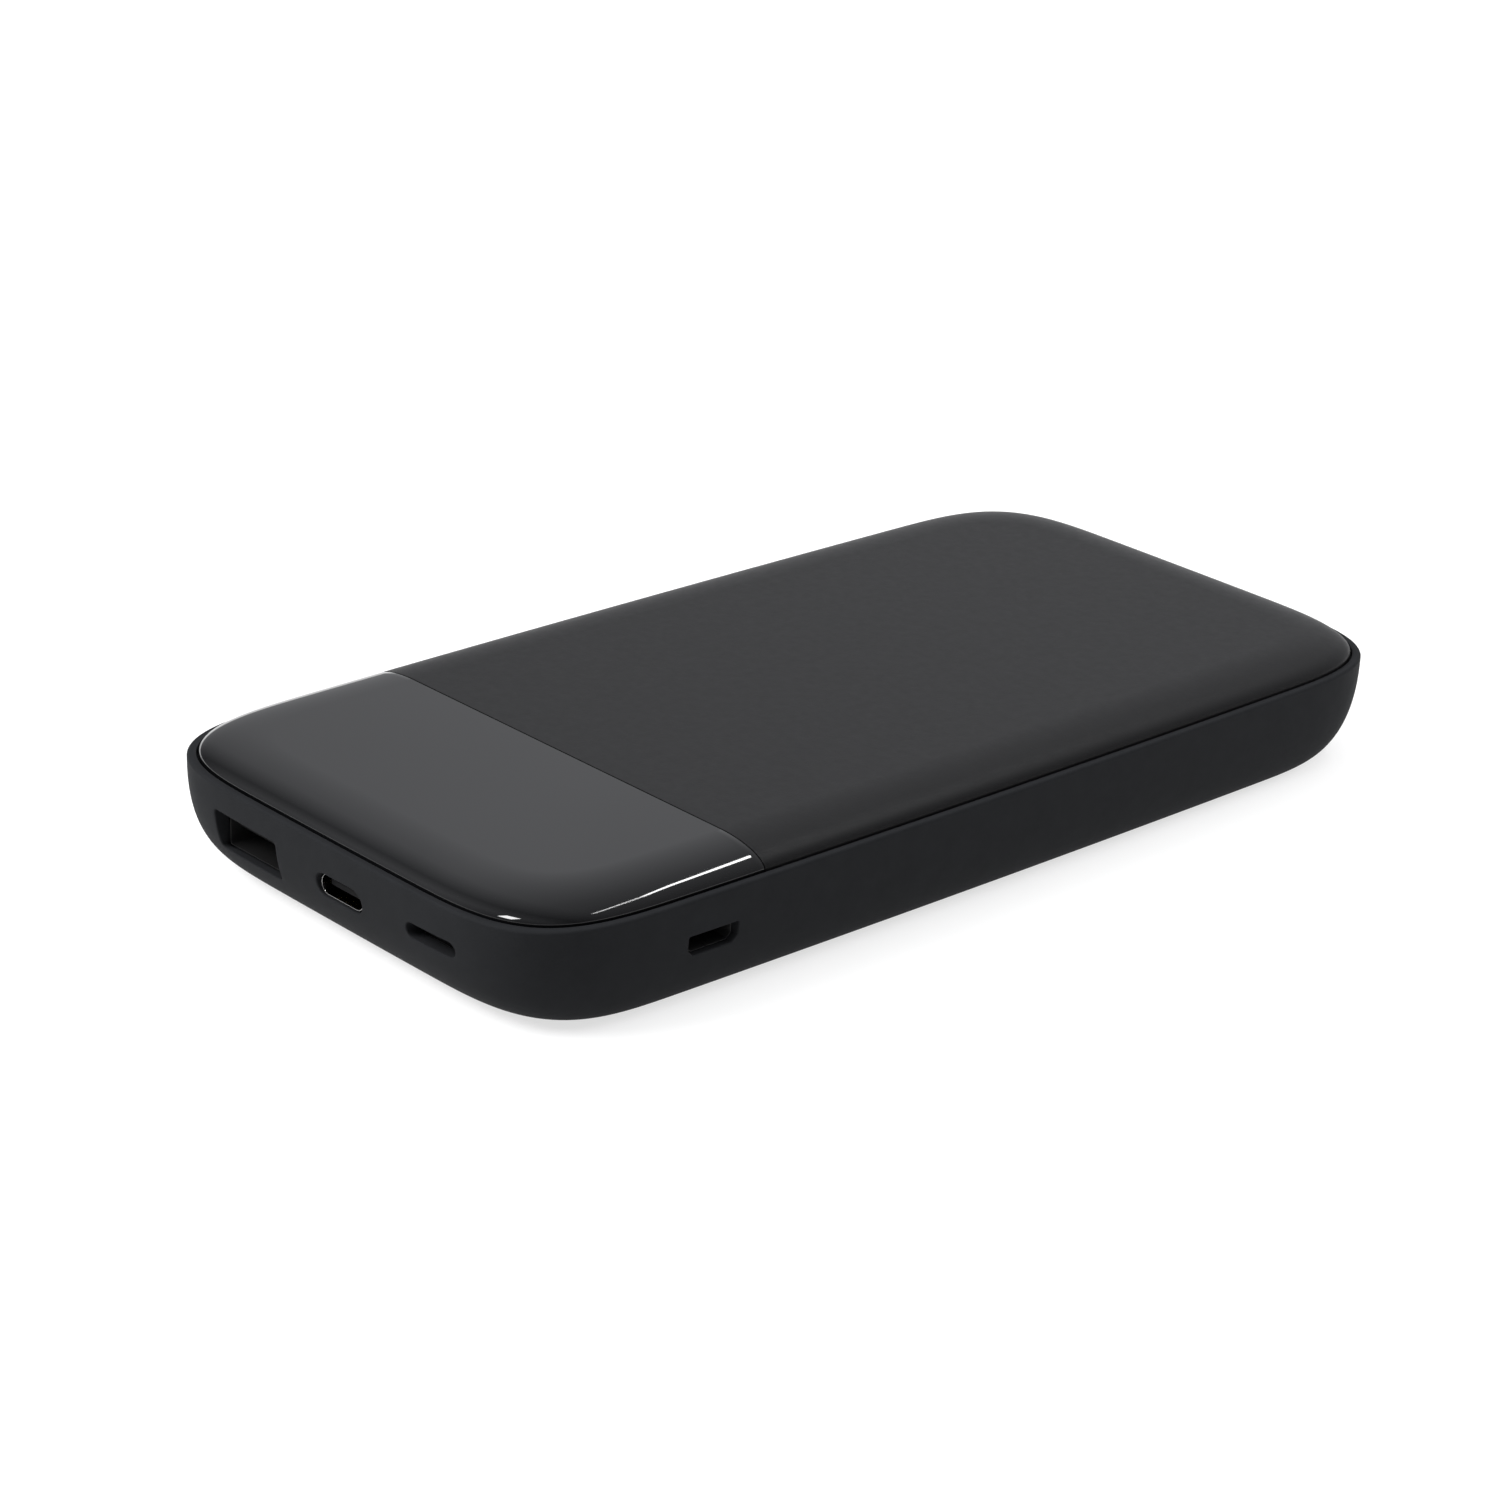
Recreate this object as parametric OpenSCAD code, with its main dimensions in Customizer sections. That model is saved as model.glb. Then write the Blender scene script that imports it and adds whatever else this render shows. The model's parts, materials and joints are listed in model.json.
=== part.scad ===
// Pocket power bank: a boat-shaped lower housing closed by a soft-touch cover and a glossy
// display panel, with four charging sockets, a side button and two stacked pouch cells.
// Frame: +Z up, the socket end faces -Y, the origin is at the middle of the underside.

/* [Body] */
// Overall width, across the long sides
body_w = 81; // [80:0.1:84]
// Overall length, from the socket end to the far end
body_l = 159; // [157:0.1:164]
// Height of the seam between the housing and the cover
seam_z = 14.9; // [14.8:0.1:15.2]
// Thickness of the housing's wall and floor
wall = 2; // [1.9:0.1:2.1]

/* [Outline] */
// Extent of a corner's curve across the width
corner_w = 27.5; // [25:0.5:29]
// Extent of a corner's curve along the length
corner_l = 28; // [26:0.5:30]
// Squareness of a corner's curve: 2 is an ellipse, more is squarer
corner_power = 3.95; // [3.6:0.05:4.4]
// Pull-in of the long sides towards their ends
side_bow = 0.9; // [0:0.1:1]
// Pull-in of the short ends towards their corners
end_bow = 0.3; // [0:0.1:0.6]

/* [Underside] */
// How far the long sides tuck in towards the flat underside
tuck_w = 6.3; // [5:0.1:6.5]
// How far the short ends tuck in towards the flat underside
tuck_l = 10.4; // [8:0.1:10.6]
// Fullness of the tuck's curve: 2 is an ellipse, more is fuller
tuck_power = 2.5; // [2.4:0.05:3]

/* [Cover and panel] */
// Width of the housing's rim outside the seam
ledge = 1.1; // [1:0.1:1.3]
// Width of the open seam line
seam_gap = 0.2; // [0.15:0.05:0.25]
// How far the cover's rounded edge reaches inwards
edge_w = 8.4; // [7:0.1:10]
// How high the cover's rounded edge rises over the seam
edge_h = 2.7; // [2.6:0.05:2.9]
// Thickness of the soft-touch cover
cover_t = 1.8; // [1.7:0.1:1.9]
// Place along the length where the glossy panel meets the soft-touch cover
panel_y = -41.8; // [-43:0.1:-41]
// Width of the line between the panel and the cover
panel_gap = 0.15; // [0.1:0.05:0.2]

/* [Sockets] */
// Place of the USB-A socket across the width
usb_a_x = -17; // [-17.5:0.1:-16]
// Height of the USB-A socket's middle
usb_a_z = 8.5; // [8.4:0.1:8.6]
// Place of the USB-C socket across the width
usb_c_x = 2.5; // [1.5:0.1:3.5]
// Height of the USB-C socket's middle
usb_c_z = 9; // [9:0.1:9.2]
// Place of the slim socket across the width
slim_x = 20.4; // [19.5:0.1:21]
// Height of the slim socket's middle
slim_z = 9.4; // [9.3:0.1:9.6]
// Place of the micro-USB socket along the length
micro_y = -50.7; // [-51.5:0.1:-50]
// Height of the micro-USB socket's middle
micro_z = 8.6; // [8.6:0.1:8.8]

/* [Button] */
// Length of the power button
button_l = 12; // [11:0.5:12.5]
// Height of the power button
button_h = 3.4; // [3:0.1:3.6]
// Place of the power button along the length
button_y = -52; // [-52.5:0.5:-51]
// How far the power button stands out of the wall
button_proud = 0.3; // [0.2:0.05:0.4]
// How far the power button travels
button_travel = 0.25; // [0.2:0.05:0.3]

/* [Cells] */
// Width of a pouch cell
cell_w = 66; // [60:1:66]
// Length of a pouch cell
cell_l = 103; // [90:1:104]
// Thickness of a pouch cell
cell_t = 5.9; // [5.6:0.1:5.9]

/* [Circuit board] */
// Thickness of the circuit board
board_t = 1.2; // [1:0.1:1.4]
// Height of the circuit board's upper face
board_z = 7.3; // [7.2:0.1:7.4]

/* [Hidden] */
$fn = 48;
eps = 0.01;

half_w = body_w / 2;
half_l = body_l / 2;
corner_steps = 12;       // points along one corner's curve
long_steps = 6;          // stretches along a long side, between two corners
short_steps = 2;         // stretches along a short end, between two corners
tuck_steps = 9;          // rings up the tucked sides
edge_steps = 6;          // rings over the cover's rounded edge

top_z = seam_z + edge_h;
seat_z = seam_z - 0.8;                   // the cover's edge sits this low in the rebate
rebate_z = seat_z - 0.1;                 // floor of the rebate in the housing's rim
cover_inset = ledge + seam_gap;          // outline of the cover and the panel
skirt_inset = wall + 0.35;               // outer face of the cover's skirt
skirt_t = 1.4;
skirt_z = 12;                            // lower edge of the skirt
ceiling_z = top_z - cover_t;
deck_t = 1.8;                            // shelf of the cover under the panel
panel_t = 1.5;
tape_t = 0.2;
deck_z = top_z - panel_t - tape_t;       // upper face of the shelf
panel_lip = 1.5;                         // width of the panel's downturned edge
floor_z = wall;

cell_y = 14;                             // middle of the cells along the length
cell_front = cell_y - cell_l / 2;
lower_cell_z = floor_z + tape_t;
upper_cell_z = lower_cell_z + cell_t + tape_t;
pad_z = upper_cell_z + cell_t;

board_inset = 5.2;
board_rear = cell_front - 5;
screw_places = [[-6.8, -70.5], [11.2, -70.5], [-27, -46.8], [27, -46.8]];
screw_r = 0.75;
pilot_r = 0.8;
window_y = -58;                          // middle of the display along the length
window_w = 19;
window_l = 7;
module_w = 22;
module_l = 9.6;
module_top = 13.3;
film_t = 0.2;
snap_places = [-25, 5, 35];              // cover's snap tabs along both long sides

usb_a_shell_w = 13.1;
usb_a_shell_h = 5.72;
usb_a_depth = 14;
usb_a_front = -half_l + 2.7;
usb_c_shell_w = 8.94;
usb_c_shell_h = 3.16;
usb_c_depth = 7.35;
usb_c_front = -half_l + 1;
slim_shell_w = 9.6;
slim_shell_h = 3.4;
slim_depth = 9;
slim_front = -half_l + 2.9;
micro_shell_w = 7.5;
micro_shell_h = 2.5;
micro_depth = 6.7;
micro_front = half_w - 1.65;
sheet_t = 0.3;                           // wall of the stamped socket shells
insert_fit = 0.04;                       // how much smaller an insert is than the inside of its shell
end_fit = 0.02;                          // between an insert and the closed end of its shell
pocket_fit = 0.2;                        // around a socket shell in the housing's wall
insert_front = 0.3;                      // the slim insert sits this far inside its shell
usb_a_base_l = 3;                        // thick rear part of each insert
usb_c_base_l = 1.5;
micro_base_l = 1.2;
slim_pitch = 0.69;                       // between two contacts of the slim socket
usb_c_pitch = 0.5;
micro_pitch = 0.65;

button_z = 8.5;
button_gap = 0.15;                       // around the button in its hole
flange_x = -half_w + 3.45;               // outer face of the button's flange
flange_t = 0.8;
nib_end = flange_x + flange_t + 1.4;
plunger_gap = 0.05;
plunger_z = 8.4;
plunger_spare = 0.7;                     // what still stands out of the switch when it is pressed
plunger_w = 2.2;
switch_w = 4.7;
switch_x = nib_end + plunger_gap + button_travel + plunger_spare; // front face of the switch

// Power of a sine or cosine that keeps its sign
function spow(v, e) = sign(v) * pow(abs(v), e);

// Share of the tuck left at a height: 1 at the underside, 0 at the seam
function tuck(z) = 1 - pow(1 - pow(1 - z / seam_z, tuck_power), 1 / tuck_power);

// Outer face of the long side at a place along the length and a height
function side_x(y, z) = half_w - side_bow * pow(y / half_l, 2) - tuck_w * tuck(z);

// Sides pulled in a little towards their ends
function bowed(p) = [p.x * (1 - side_bow / half_w * pow(p.y / half_l, 2)),
    p.y * (1 - end_bow / half_l * pow(p.x / half_w, 2))];

// One corner's curve, drawn in by ix and iy. Corner 0 is at +X -Y, and they run round to -X -Y
function corner(q, ix, iy) =
    let (cx = [1, 1, -1, -1][q] * (half_w - corner_w), cy = [-1, 1, 1, -1][q] * (half_l - corner_l))
    [for (k = [0 : corner_steps]) let (a = 90 * (q - 1 + k / corner_steps))
        [cx + (corner_w - ix) * spow(cos(a), 2 / corner_power),
         cy + (corner_l - iy) * spow(sin(a), 2 / corner_power)]];

// Points between two corners, both left out
function between(a, b, steps) = [for (k = [1 : steps - 1]) a + (b - a) * k / steps];

// The body's outline seen from above, drawn in by ix and iy
function outline(ix, iy) =
    let (c = [for (q = [0 : 3]) corner(q, ix, iy)])
    [for (q = [0 : 3]) each [for (p = concat(c[q], between(c[q][corner_steps], c[(q + 1) % 4][0],
        q % 2 == 0 ? long_steps : short_steps))) bowed(p)]];

// Level of a ring as [height, inset x, inset y]
function level(z, i) = [z, i, i];

// Closed solid through rings, which may run up the outside and back down the inside
module loft(levels) {
    n = len(outline(0, 0));
    points = [for (l = levels) each [for (p = outline(l[1], l[2])) [p.x, p.y, l[0]]]];
    last = (len(levels) - 1) * n;
    sides = [for (k = [0 : len(levels) - 2]) for (i = [0 : n - 1])
        let (j = (i + 1) % n, low = k * n, high = low + n)
        each [[low + i, high + i, high + j], [low + i, high + j, low + j]]];
    caps = [[for (i = [0 : n - 1]) i], [for (i = [n - 1 : -1 : 0]) last + i]];
    polyhedron(points = points, faces = concat(sides, caps));
}

// Plate of the body's outline between y_min and y_max
module plate(inset, y_min, y_max, z, t) {
    translate([0, 0, z]) linear_extrude(t) intersection() {
        polygon(outline(inset, inset));
        translate([-half_w, y_min]) square([body_w, y_max - y_min]);
    }
}

// Prism along Y from y, its profile drawn as X across and Z up
module along_y(x, y, z, depth) {
    translate([x, y + depth, z]) rotate([90, 0, 0]) linear_extrude(depth) children();
}

// Prism along X from x, its profile drawn as Y across and Z up
module along_x(x, y, z, depth) {
    translate([x, y, z]) rotate([90, 0, 90]) linear_extrude(depth) children();
}

// Slot with round ends
module pill(w, h) {
    square([w - h, h], center = true);
    for (s = [-1, 1]) translate([s * (w - h) / 2, 0]) circle(d = h);
}

// Rectangle with rounded corners
module soft_rect(w, h, r) {
    square([w - 2 * r, h], center = true);
    square([w, h - 2 * r], center = true);
    for (x = [-1, 1], y = [-1, 1]) translate([x * (w / 2 - r), y * (h / 2 - r)]) circle(r);
}

// Micro-USB profile, whose lower corners are cut off
module micro_profile(w, h, cut) {
    polygon([[-w / 2, h / 2], [-w / 2, cut - h / 2], [cut - w / 2, -h / 2],
        [w / 2 - cut, -h / 2], [w / 2, cut - h / 2], [w / 2, h / 2]]);
}

// Box centred across and along, standing on z
module block(x, y, z, w, l, h) {
    translate([x - w / 2, y - l / 2, z]) cube([w, l, h]);
}

// Rings up the tucked sides, drawn in by an extra inset
function tuck_rings(ks, extra) = [for (k = ks)
    let (a = 90 * k / tuck_steps, z = seam_z * (1 - pow(cos(a), 2 / tuck_power)),
        u = 1 - pow(sin(a), 2 / tuck_power))
    [z, extra + tuck_w * u, extra + tuck_l * u]];

// Rings over the cover's rounded edge, from the seam to the top
function edge_rings() = [for (k = [0 : edge_steps]) let (a = 90 * k / edge_steps)
    level(seam_z + edge_h * sin(a), cover_inset + edge_w * (1 - cos(a)))];

module lower_housing() color("#2b2c2f") difference() {
    rim_r = 0.3;
    inner_from = 4;                      // first ring of the inner wall above the floor
    inner_levels = tuck_rings([tuck_steps - 1 : -1 : inner_from], wall);
    floor_level = [floor_z, wall + tuck_w * tuck(floor_z), wall + tuck_l * tuck(floor_z)];
    union() {
        loft(concat(tuck_rings([0 : tuck_steps - 1], 0),
            [level(seam_z - rim_r, 0), level(seam_z - rim_r * 0.3, rim_r * 0.3),
             level(seam_z, rim_r), level(seam_z, ledge), level(rebate_z, ledge),
             level(rebate_z, wall)], inner_levels, [floor_level]));
        for (p = screw_places) translate([p.x, p.y, floor_z - 0.3])
            cylinder(r = 2.4, h = board_z - board_t - floor_z + 0.3);
        // catches that the cover's snap tabs hook under
        for (s = [-1, 1], y = snap_places) translate([s * (half_w - 1.9), y, 10.4])
            translate([-0.95, -5, 0]) cube([1.9, 10, 0.8]);
        // ribs that keep the cells in place
        for (s = [-1, 1]) block(s * (cell_w / 2 + 0.9), cell_y, floor_z - 0.3, 1.2, 76, 5);
        block(0, cell_y + cell_l / 2 + 0.9, floor_z - 0.3, 40, 1.2, 4);
    }
    for (p = screw_places) translate([p.x, p.y, floor_z + 0.5]) cylinder(r = pilot_r, h = 6);
    along_y(usb_a_x, -half_l - 1, usb_a_z, 5) soft_rect(13.3, 5.5, 0.6);
    along_y(usb_a_x, usb_a_front - pocket_fit, usb_a_z, 4)
        soft_rect(usb_a_shell_w + 2 * pocket_fit, usb_a_shell_h + 2 * pocket_fit, 0.6);
    along_y(usb_c_x, -half_l - 1, usb_c_z, 5) pill(9.15, 3.3);
    along_y(slim_x, -half_l - 1, slim_z, 5) pill(9, 2.1);
    along_y(slim_x, slim_front - pocket_fit, slim_z, 4)
        pill(slim_shell_w + 2 * pocket_fit, slim_shell_h + 2 * pocket_fit);
    along_x(half_w - 4, micro_y, micro_z, 5) micro_profile(7.9, 2.75, 0.9);
    along_x(-half_w - 1, button_y, button_z, 5)
        pill(button_l + 2 * button_gap, button_h + 2 * button_gap);
}

module top_cover() color("#37383a") {
    front = panel_y + panel_gap / 2;
    inner_side = skirt_inset + skirt_t;
    inner_w = edge_w + cover_inset - inner_side + 0.5;
    difference() {
        union() {
            loft(concat([for (k = [edge_steps : -1 : 0]) let (a = 90 * k / edge_steps)
                    level(seat_z + (ceiling_z - seat_z) * sin(a), inner_side + inner_w * (1 - cos(a)))],
                [level(skirt_z, inner_side), level(skirt_z, skirt_inset),
                 level(seat_z, skirt_inset), level(seat_z, cover_inset)], edge_rings()));
            plate(inner_side - 0.4, -half_l, panel_y + 5, deck_z - deck_t, deck_t);
        }
        translate([-half_w, -half_l, deck_z]) cube([body_w, half_l + front, edge_h]);
        // room for the panel's downturned edge, in two steps
        for (step = [[panel_lip + 0.1, seat_z - 0.1], [panel_lip + 2.4, seat_z + 0.9]])
            translate([0, 0, step[1]]) linear_extrude(edge_h + 1) difference() {
                translate([-half_w, -half_l]) square([body_w, half_l + front]);
                polygon(outline(cover_inset + step[0], cover_inset + step[0]));
            }
        block(0, window_y, deck_z - 3, window_w, window_l, 4);
    }
    // snap tabs below the skirt, each with a hook that passes under a catch
    for (s = [-1, 1], y = snap_places) {
        block(s * (half_w - 3.65), y, 9.5, 1.1, 8, skirt_z - 9.5 + 0.5);
        block(s * (half_w - 3.05), y, 9.5, 1.1, 8, 0.7);
    }
}

module gloss_panel() color("#4a4b50") intersection() {
    under = deck_z + tape_t;
    loft(concat([level(under, cover_inset + panel_lip + 2.6), level(seat_z + 1, cover_inset + panel_lip),
        level(seat_z, cover_inset + panel_lip), level(seat_z, cover_inset)], edge_rings()));
    translate([-half_w, -half_l, 0]) cube([body_w, half_l + panel_y - panel_gap / 2, body_l]);
}

module panel_adhesive() color("#151515") difference() {
    plate(cover_inset + panel_lip + 2.8, -half_l, panel_y - 1, deck_z, tape_t);
    block(0, window_y, deck_z - 1, window_w + 1, window_l + 1, 2);
}

// One seven-bar digit of the display, as the wells that its light shines through
module digit_wells(x) {
    bar_w = 0.6;
    bar_l = 1.9;
    for (y = [-1, 0, 1]) block(x, window_y + y * 2.6, module_top - 0.6, bar_l, bar_w, 1);
    for (dx = [-1, 1], dy = [-1, 1])
        block(x + dx * 1.35, window_y + dy * 1.3, module_top - 0.6, bar_w, bar_l, 1);
}

module display_module() color("#111214") difference() {
    block(0, window_y, board_z, module_w, module_l, module_top - board_z);
    for (x = [-6.4, -1.6, 3.2]) digit_wells(x);
    block(7.4, window_y - 2, module_top - 0.6, 1.6, 1.6, 1);
}

module display_diffuser() color("#e8e8e4")
    block(0, window_y, module_top, module_w, module_l, film_t);

module display_shroud() color("#202020") difference() {
    z = module_top + film_t;
    block(0, window_y, z, module_w, module_l, deck_z - deck_t - z);
    block(0, window_y, z - 1, window_w + 0.4, window_l + 0.4, 4);
}

module main_board() color("#14532d") difference() {
    plate(board_inset, -half_l, board_rear, board_z - board_t, board_t);
    block(usb_a_x, usb_a_front + usb_a_depth / 2, board_z - 3, usb_a_shell_w + 0.4,
        usb_a_depth + 0.4, 6);
    for (p = screw_places) translate([p.x, p.y, board_z - 3]) cylinder(r = 0.95, h = 6);
}

module board_screws() color("#9a9ca0") for (p = screw_places) translate([p.x, p.y, board_z]) {
    difference() {
        cylinder(r = 1.6, h = 0.9);
        for (turn = [0, 90]) translate([0, 0, 0.9]) rotate(turn) cube([1.9, 0.4, 0.9], center = true);
    }
    translate([0, 0, -4.4]) cylinder(r = screw_r, h = 4.5);
}

module usb_a_shell() color("#b9bcc0") {
    difference() {
        along_y(usb_a_x, usb_a_front, usb_a_z, usb_a_depth)
            soft_rect(usb_a_shell_w, usb_a_shell_h, 0.6);
        along_y(usb_a_x, usb_a_front - 1, usb_a_z, usb_a_depth + 1 - sheet_t)
            soft_rect(usb_a_shell_w - 2 * sheet_t, usb_a_shell_h - 2 * sheet_t, 0.3);
    }
    // wings that rest on the board beside its notch
    for (s = [-1, 1], d = [6, 11.5])
        block(usb_a_x + s * (usb_a_shell_w / 2 + 0.6), usb_a_front + d, board_z, 1.4, 2, sheet_t);
}

module usb_a_tongue() color("#1a1a1c") {
    tongue_w = 11.1;
    tongue_t = 1.84;
    base_y = usb_a_front + usb_a_depth - sheet_t - usb_a_base_l;
    tip_y = usb_a_front + 0.9;
    along_y(usb_a_x, base_y, usb_a_z, usb_a_base_l - end_fit) soft_rect(
        usb_a_shell_w - 2 * sheet_t - insert_fit, usb_a_shell_h - 2 * sheet_t - insert_fit, 0.3);
    translate([usb_a_x - tongue_w / 2, tip_y, usb_a_z])
        cube([tongue_w, base_y - tip_y + eps, tongue_t]);
}

module usb_a_contacts() color("#d8b45a") {
    contact_t = 0.15;
    tip = 1.8;
    for (x = [-3.5, -1, 1, 3.5]) translate([usb_a_x + x - 0.5, usb_a_front + tip, usb_a_z - contact_t])
        cube([1, usb_a_depth - sheet_t - usb_a_base_l - tip, contact_t]);
}

module usb_c_shell() color("#b9bcc0") {
    difference() {
        along_y(usb_c_x, usb_c_front, usb_c_z, usb_c_depth) pill(usb_c_shell_w, usb_c_shell_h);
        along_y(usb_c_x, usb_c_front - 1, usb_c_z, usb_c_depth + 1 - sheet_t)
            pill(usb_c_shell_w - 2 * sheet_t, usb_c_shell_h - 2 * sheet_t);
    }
    for (s = [-1, 1], d = [5.2, 6.8])
        block(usb_c_x + s * 4.3, usb_c_front + d, board_z, sheet_t, 1, usb_c_z - board_z - 0.3);
}

module usb_c_tongue() color("#1a1a1c") {
    tongue_t = 0.7;
    base_y = usb_c_front + usb_c_depth - sheet_t - usb_c_base_l;
    along_y(usb_c_x, base_y, usb_c_z, usb_c_base_l - end_fit)
        pill(usb_c_shell_w - 2 * sheet_t - insert_fit, usb_c_shell_h - 2 * sheet_t - insert_fit);
    block(usb_c_x, usb_c_front + 3.25, usb_c_z - tongue_t / 2, 6.69, 4.7, tongue_t);
}

module usb_c_contacts() color("#d8b45a") for (i = [0 : 11], s = [-1, 1])
    block(usb_c_x + (i - 5.5) * usb_c_pitch, usb_c_front + 3.3, usb_c_z + s * 0.375 - 0.025,
        0.26, 3.6, 0.05);

module slim_socket_shell() color("#8d9094") {
    difference() {
        along_y(slim_x, slim_front, slim_z, slim_depth) pill(slim_shell_w, slim_shell_h);
        along_y(slim_x, slim_front - 1, slim_z, slim_depth + 1 - sheet_t)
            pill(slim_shell_w - 2 * sheet_t, slim_shell_h - 2 * sheet_t);
    }
    for (s = [-1, 1], d = [4, 8])
        block(slim_x + s * 4.6, slim_front + d, board_z, sheet_t, 1, slim_z - board_z - 0.3);
}

module slim_socket_insert() color("#1a1a1c") difference() {
    along_y(slim_x, slim_front + insert_front, slim_z, slim_depth - insert_front - sheet_t - end_fit)
        pill(slim_shell_w - 2 * sheet_t - insert_fit, slim_shell_h - 2 * sheet_t - insert_fit);
    along_y(slim_x, slim_front - 1, slim_z, 8.2) pill(7.2, 1.8);
}

module slim_socket_contacts() color("#d8b45a") for (i = [0 : 7], s = [-1, 1])
    block(slim_x + (i - 3.5) * slim_pitch, slim_front + 4.5, slim_z + s * 0.84 - 0.06, 0.4, 4, 0.12);

module micro_usb_shell() color("#8d9094") {
    difference() {
        along_x(micro_front - micro_depth, micro_y, micro_z, micro_depth)
            micro_profile(micro_shell_w, micro_shell_h, 0.8);
        along_x(micro_front - micro_depth + sheet_t, micro_y, micro_z, micro_depth)
            micro_profile(micro_shell_w - 2 * sheet_t, micro_shell_h - 2 * sheet_t, 0.7);
    }
    for (s = [-1, 1], d = [4.7, 6.1])
        block(micro_front - d, micro_y + s * 3.6, board_z, 1, sheet_t, micro_z - board_z);
}

module micro_usb_tongue() color("#1a1a1c") {
    rear_x = micro_front - micro_depth + sheet_t + end_fit;
    along_x(rear_x, micro_y, micro_z, micro_base_l) micro_profile(
        micro_shell_w - 2 * sheet_t - insert_fit, micro_shell_h - 2 * sheet_t - insert_fit, 0.7);
    block(rear_x + 2.5, micro_y, micro_z + 0.1, 3.6, 3.8, 0.6);
}

module micro_usb_contacts() color("#d8b45a") for (i = [-2 : 2])
    block(micro_front - 3.65, micro_y + i * micro_pitch, micro_z + 0.04, 2.6, 0.3, 0.06);

module power_button() color("#2b2c2f") {
    face_x = -side_x(button_y, button_z) - button_proud;
    along_x(face_x, button_y, button_z, flange_x - face_x + eps) pill(button_l, button_h);
    along_x(flange_x, button_y, button_z, flange_t) pill(button_l + 2, button_h + 1.2);
    translate([flange_x + flange_t - eps, button_y, plunger_z]) rotate([0, 90, 0])
        cylinder(r = 0.8, h = nib_end - flange_x - flange_t + eps);
}

module switch_body() color("#c9cbcd") difference() {
    slot_gap = 0.15;                     // around the plunger
    block(switch_x + 1.7, button_y, board_z, 3.4, switch_w, 2.2);
    block(switch_x + 0.9, button_y, plunger_z - 0.5 - slot_gap, 2.1, plunger_w + 2 * slot_gap,
        1 + 2 * slot_gap);
}

module switch_plunger() color("#1a1a1c")
    block(nib_end + plunger_gap + 1.1, button_y, plunger_z - 0.5, 2.2, plunger_w, 1);

// Pouch cell with the thin sealed strip at its front
module pouch_cell(z) {
    strip = 3;
    translate([0, cell_y + strip / 2, z]) linear_extrude(cell_t) soft_rect(cell_w, cell_l - strip, 1.5);
    block(0, cell_front + strip / 2 + 0.1, z + cell_t / 2 - 0.3, cell_w - 6, strip + 0.2, 0.6);
}

module lower_cell() color("#a9adb3") pouch_cell(lower_cell_z);

module upper_cell() color("#a9adb3") pouch_cell(upper_cell_z);

module cell_base_tape() color("#e6e1cf")
    for (x = [-18, 18]) block(x, cell_y + 2, floor_z, 14, cell_l - 20, tape_t);

module cell_joint_tape() color("#e6e1cf")
    block(0, cell_y + 2, lower_cell_z + cell_t, cell_w - 16, cell_l - 20, tape_t);

module cover_foam_pad() color("#3a3a3a")
    for (y = [-12, 40]) block(0, y, pad_z, cell_w - 16, 30, ceiling_z - pad_z);

// Nickel strip that joins one pole of both cells
module busbar(x) {
    t = 0.15;
    strip_w = 6;
    reach = 2.7;
    for (z = [lower_cell_z, upper_cell_z])
        block(x, cell_front - reach / 2, z + (cell_t - t) / 2, strip_w, reach, t);
    block(x, cell_front - reach - t / 2 + eps, lower_cell_z + cell_t / 2 - 0.2, strip_w, t,
        cell_t + tape_t + 0.4);
}

module positive_busbar() color("#c8c4b8") busbar(-16);

module negative_busbar() color("#c8c4b8") busbar(16);

// Wire from a busbar over the insulation card and down to the board
module lead(x) {
    wire_r = 0.8;
    bend_r = 1.5;
    start_y = cell_front - 2.84;
    bend_y = start_y - 1.6;
    bend_z = board_z + 1.1;
    translate([x, start_y, bend_z + bend_r]) rotate([90, 0, 0]) cylinder(r = wire_r, h = 1.6);
    translate([x, bend_y, bend_z]) rotate([90, 0, -90])
        rotate_extrude(angle = 90) translate([bend_r, 0]) circle(wire_r);
    translate([x, bend_y - bend_r, board_z]) cylinder(r = wire_r, h = bend_z - board_z);
}

module positive_lead() color("#b3261e") lead(-16);

module negative_lead() color("#151515") lead(16);

module insulation_card() color("#7d6a45") block(0, cell_front - 3.9, floor_z, 60, 0.3, 6.8);

module power_inductors() color("#4b4d50")
    for (p = [[-20, -52.5], [20, -56]]) translate([p.x, p.y, board_z])
        linear_extrude(4.2) soft_rect(7, 7, 1);

module controller_chip() color("#16171a") block(20.5, -47.5, board_z, 5, 5, 0.9);

module power_transistors() color("#16171a")
    for (p = [[-29, -59], [-29, -64.5], [28.5, -54], [28.5, -60]]) block(p.x, p.y, board_z, 3.3, 3.3, 0.85);

module filter_capacitors() color("#c3c6ca")
    for (x = [-7.5, 0, 7.5]) translate([x, -47.8, board_z]) cylinder(d = 6.3, h = 5.8);

lower_housing();
top_cover();
gloss_panel();
panel_adhesive();
display_module();
display_diffuser();
display_shroud();
main_board();
board_screws();
usb_a_shell();
usb_a_tongue();
usb_a_contacts();
usb_c_shell();
usb_c_tongue();
usb_c_contacts();
slim_socket_shell();
slim_socket_insert();
slim_socket_contacts();
micro_usb_shell();
micro_usb_tongue();
micro_usb_contacts();
power_button();
switch_body();
switch_plunger();
lower_cell();
upper_cell();
cell_base_tape();
cell_joint_tape();
cover_foam_pad();
positive_busbar();
negative_busbar();
positive_lead();
negative_lead();
insulation_card();
power_inductors();
controller_chip();
power_transistors();
filter_capacitors();
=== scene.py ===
import json
import math

import bmesh
import bpy
import numpy as np
from mathutils import Matrix, Vector


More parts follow.
